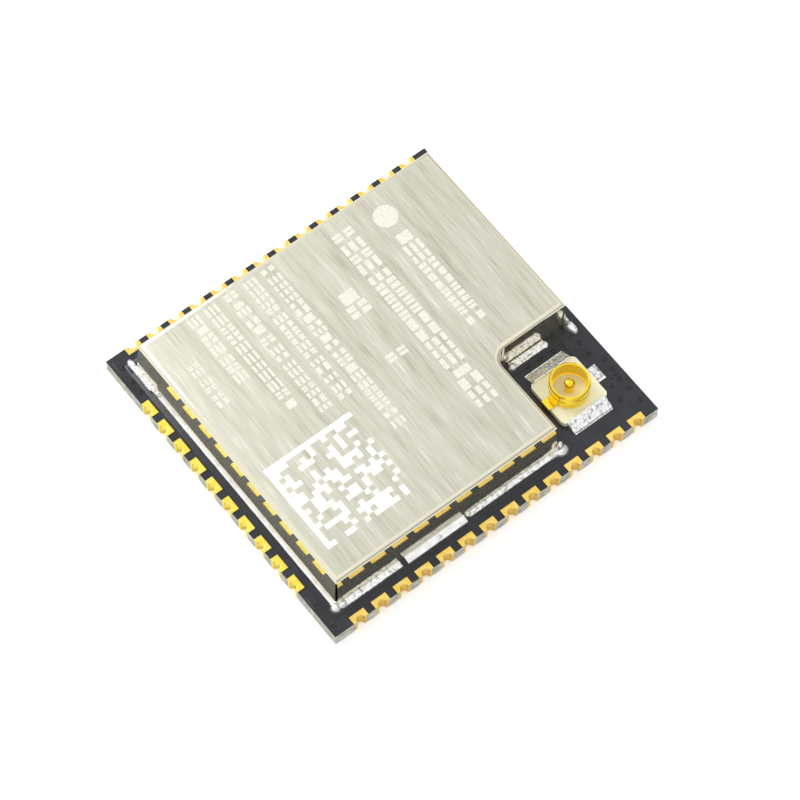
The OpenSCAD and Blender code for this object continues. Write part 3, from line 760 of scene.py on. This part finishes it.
def mark_row(x0, x1, y0, y1, widths):
    """A row of plain signs, as a placeholder for a printed line. No sign is a letter."""
    plates, x = [], x0
    while x < x1 - widths[0]:
        w = min(rng.choice(widths), x1 - x)
        kind = rng.choice(("two", "three", "three", "three", "dots", "dots", "block"))
        plates += mark_sign(x, y0, x + w, y1, kind)
        x += w + SIGN_SPACE * (1 if rng.random() > WORD_CHANCE else WORD_SPACE)
    return plates


rows = []
for x0, x1, y0, y1, widths in (
        (-4.9, 1.3, 4.5, 5.45, (0.42, 0.6)),
        (-6.7, 5.1, 2.15, 3.3, (0.45, 0.62)),
        (-7.3, 3.5, -1.62, -0.92, (0.3, 0.42)),
        (-7.3, 0.8, -2.7, -2.0, (0.3, 0.42)),
        (-7.3, 0.65, -3.82, -3.15, (0.3, 0.42)),
        (-7.3, -0.6, -4.98, -4.32, (0.4, 0.56)),
        (-7.3, -3.0, -5.98, -5.32, (0.4, 0.56)),
        (-5.3, -2.4, -7.42, -6.82, (0.26, 0.36)),
        (-4.0, -2.3, 0.35, 1.45, (0.7,)),
        (-0.1, 0.9, 0.3, 1.4, (0.45,))):
    rows += mark_row(x0, x1, y0, y1, widths)
deselect()
bpy.ops.mesh.primitive_cylinder_add(
    vertices=64, radius=DISC_R * MM, depth=(ROOT + MARK_DEPTH) * MM,
    location=(DISC_X * MM, DISC_Y * MM, (MARK_TOP - (ROOT + MARK_DEPTH) / 2) * MM))
bpy.ops.object.transform_apply(location=True, rotation=True, scale=True)
rows.append(bpy.context.object)
finish(join(rows), "marking_rows", "laser_marking_light")

# A field of squares from a seeded draw, which holds nothing to read.
cells = []
for i in range(CELLS):
    for j in range(CELLS):
        border = i == 0 or j == 0
        if border or rng.random() < CELL_CHANCE:
            cells.append(mark_plate(FIELD_X + i * CELL, FIELD_Y + j * CELL,
                                    FIELD_X + (i + 1) * CELL, FIELD_Y + (j + 1) * CELL))
finish(join(cells), "marking_field", "laser_marking")


# --- camera, light and floor --------------------------------------------------------------

AZIMUTH, ELEVATION = math.radians(52.244), math.radians(63.382)
DISTANCE, LENS, SENSOR = 182.14, 173.51, 36
CLIP_START, CLIP_END = 0.01, 10      # in metres
MID_HEIGHT = 1.6
AIM_RIGHT, AIM_UP = 0.8909, -1.076   # from the module's middle to the middle of the view
right = Vector((math.cos(AZIMUTH), math.sin(AZIMUTH), 0))
back = Vector((math.sin(AZIMUTH) * math.cos(ELEVATION),
               -math.cos(AZIMUTH) * math.cos(ELEVATION), math.sin(ELEVATION)))
up = back.cross(right)
aim = Vector((0, 0, MID_HEIGHT)) + AIM_RIGHT * right + AIM_UP * up
camera = bpy.data.objects.new("camera", bpy.data.cameras.new("camera"))
camera.data.lens, camera.data.sensor_width = LENS, SENSOR
camera.data.clip_start, camera.data.clip_end = CLIP_START, CLIP_END
camera.matrix_world = Matrix.Translation((aim + DISTANCE * back) * MM) @ Matrix(
    (right, up, back)).transposed().to_4x4()
bpy.context.scene.collection.objects.link(camera)
bpy.context.scene.camera = camera

# A square soft box over the module's left, turned to face it.
LAMP_PLACE, LAMP_SIZE, LAMP_WATTS = Vector((-240, -60, 200)), 160, 0.45
lamp = bpy.data.lights.new("key", "AREA")
lamp.size = LAMP_SIZE * MM
lamp.energy = LAMP_WATTS
holder = bpy.data.objects.new("key", lamp)
holder.location = LAMP_PLACE * MM
holder.rotation_euler = (-LAMP_PLACE).to_track_quat("-Z", "Y").to_euler()
bpy.context.scene.collection.objects.link(holder)

WHITE, SOFT_FILL = (1, 1, 1, 1), (0.92, 0.92, 0.92, 1)
DOME_AXIS = (-0.12, -0.38, 1)        # the way to the brightest part of what metal mirrors
DOME_STOPS = ((0.05, (0.4, 0.4, 0.38, 1)), (0.6, WHITE))
FLOOR_SIZE, FLOOR_DROP = 2, 0.00001  # in metres
FLOOR_LIFT = 0.3                     # what the floor adds to its own shade for the eye alone


def seen_directly(tree):
    """The kinds of ray, and 1 for a ray that the eye sends straight or through glass."""
    rays = add(tree, "ShaderNodeLightPath").outputs
    return rays, add(tree, "ShaderNodeMath", {
        0: rays["Is Camera Ray"], 1: rays["Is Transmission Ray"]},
        operation="MAXIMUM").outputs[0]


world = bpy.data.worlds.new("studio")
world.use_nodes = True
bpy.context.scene.world = world
sky = world.node_tree
rays, seen = seen_directly(sky)
# What the metal mirrors: a dome that is brightest overhead and over the module's front left.
direction = add(sky, "ShaderNodeTexCoord").outputs["Generated"]
height = add(sky, "ShaderNodeVectorMath", {0: direction, 1: DOME_AXIS},
             operation="DOT_PRODUCT").outputs["Value"]
dome = add(sky, "ShaderNodeValToRGB", {"Fac": height})
for element, (where, shade) in zip(dome.color_ramp.elements, DOME_STOPS):
    element.position, element.color = where, shade
lit = add(sky, "ShaderNodeMix", {
    0: rays["Is Glossy Ray"], MIX_A: SOFT_FILL, MIX_B: dome.outputs["Color"]},
    data_type="RGBA").outputs[MIX_OUT]
shown = add(sky, "ShaderNodeMix", {
    0: seen, MIX_A: lit, MIX_B: WHITE}, data_type="RGBA").outputs[MIX_OUT]
sky.links.new(shown, sky.nodes["Background"].inputs["Color"])

deselect()
bpy.ops.mesh.primitive_plane_add(size=FLOOR_SIZE, location=(0, 0, -FLOOR_DROP))
floor = bpy.context.object
floor.name = "floor"
# White card, matt, which keeps the module's shadow.
card, sheet, shader = start_material("white_card", "#F4F4F4", 0.9, Specular_IOR_Level=0.0)
rays, seen = seen_directly(sheet)
lift = add(sheet, "ShaderNodeMath", {0: seen, 1: FLOOR_LIFT}, operation="MULTIPLY").outputs[0]
glow = add(sheet, "ShaderNodeEmission", {"Strength": lift})
both = add(sheet, "ShaderNodeAddShader", {0: shader.outputs[0], 1: glow.outputs[0]})
sheet.links.new(both.outputs[0], sheet.nodes["Material Output"].inputs["Surface"])
floor.data.materials.append(card)

bpy.context.scene.view_settings.view_transform = "Standard"
